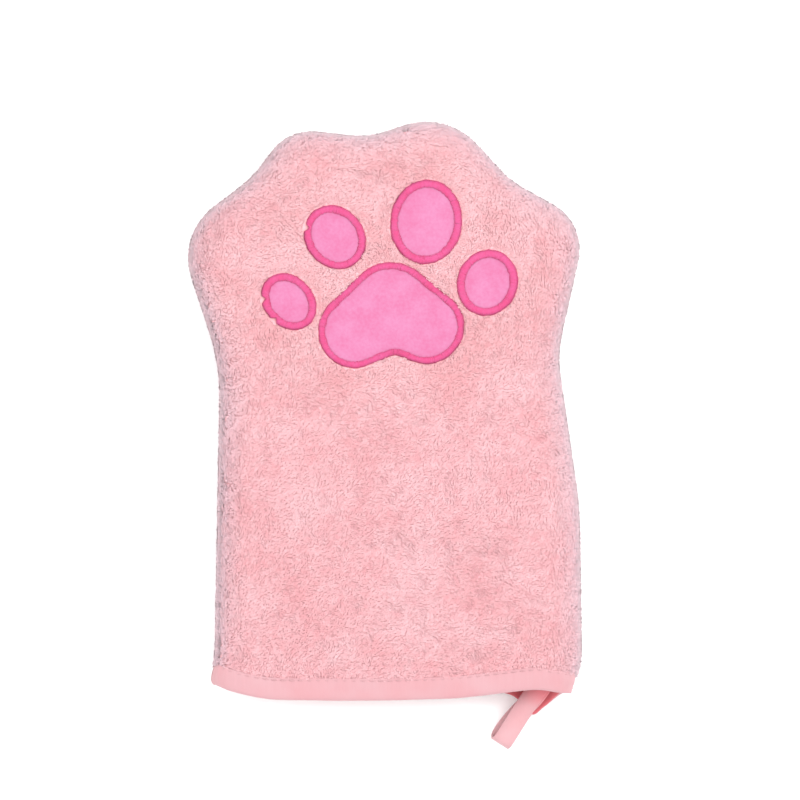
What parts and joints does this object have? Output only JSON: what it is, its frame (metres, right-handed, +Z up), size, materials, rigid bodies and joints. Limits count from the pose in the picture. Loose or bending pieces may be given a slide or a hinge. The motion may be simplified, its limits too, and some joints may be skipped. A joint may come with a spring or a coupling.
{
  "type": "paw wash mitt",
  "caption": "Plush wash mitt in the shape of a paw, with appliqued pads, a bound open cuff and a folded hanging loop.",
  "frame": {"origin": "centre of the mitt's 150 x 220 mm footprint, on the surface that it lies on", "axes": "+X to the right of the padded face, +Y from the cuff to the toes, +Z up out of the padded face"},
  "size_m": [0.1503, 0.2406, 0.022],
  "materials": {
    "plush": "matte deep pile",
    "binding_tape": "smooth knitted tape",
    "pad_fabric": "short nap",
    "satin_thread": "satin embroidery thread",
    "sewing_thread": "matte thread",
    "backing": "non-woven",
    "loop_tape": "smooth knitted tape"
  },
  "bodies": {
    "back": {"back_panel": "plush", "back_cuff_binding": "binding_tape", "back_cuff_stitching": "sewing_thread", "closing_seam_thread": "sewing_thread", "overlock_thread": "sewing_thread", "hanging_loop_tails": "loop_tape", "loop_bar_tack": "sewing_thread"},
    "front": {"front_panel": "plush", "front_cuff_binding": "binding_tape", "front_cuff_stitching": "sewing_thread", "embroidery_backing": "backing", "main_pad_patch": "pad_fabric", "inner_right_toe_patch": "pad_fabric", "inner_left_toe_patch": "pad_fabric", "outer_right_toe_patch": "pad_fabric", "outer_left_toe_patch": "pad_fabric", "main_pad_border": "satin_thread", "inner_right_toe_border": "satin_thread", "inner_left_toe_border": "satin_thread", "outer_right_toe_border": "satin_thread", "outer_left_toe_border": "satin_thread"},
    "hanging_loop": {"hanging_loop": "loop_tape"}
  },
  "joints": [
    {"name": "mouth_open", "type": "hinge", "parent": "back", "child": "front", "pos_m": [0, 0.1112, 0.011], "axis": [-1, 0, 0], "range_deg": [0, 5]},
    {"name": "loop_swing", "type": "hinge", "parent": "back", "child": "hanging_loop", "pos_m": [0.0566, -0.1095, 0.0078], "axis": [-0.8291, 0.5591, 0], "range_deg": [0, 70]}
  ]
}
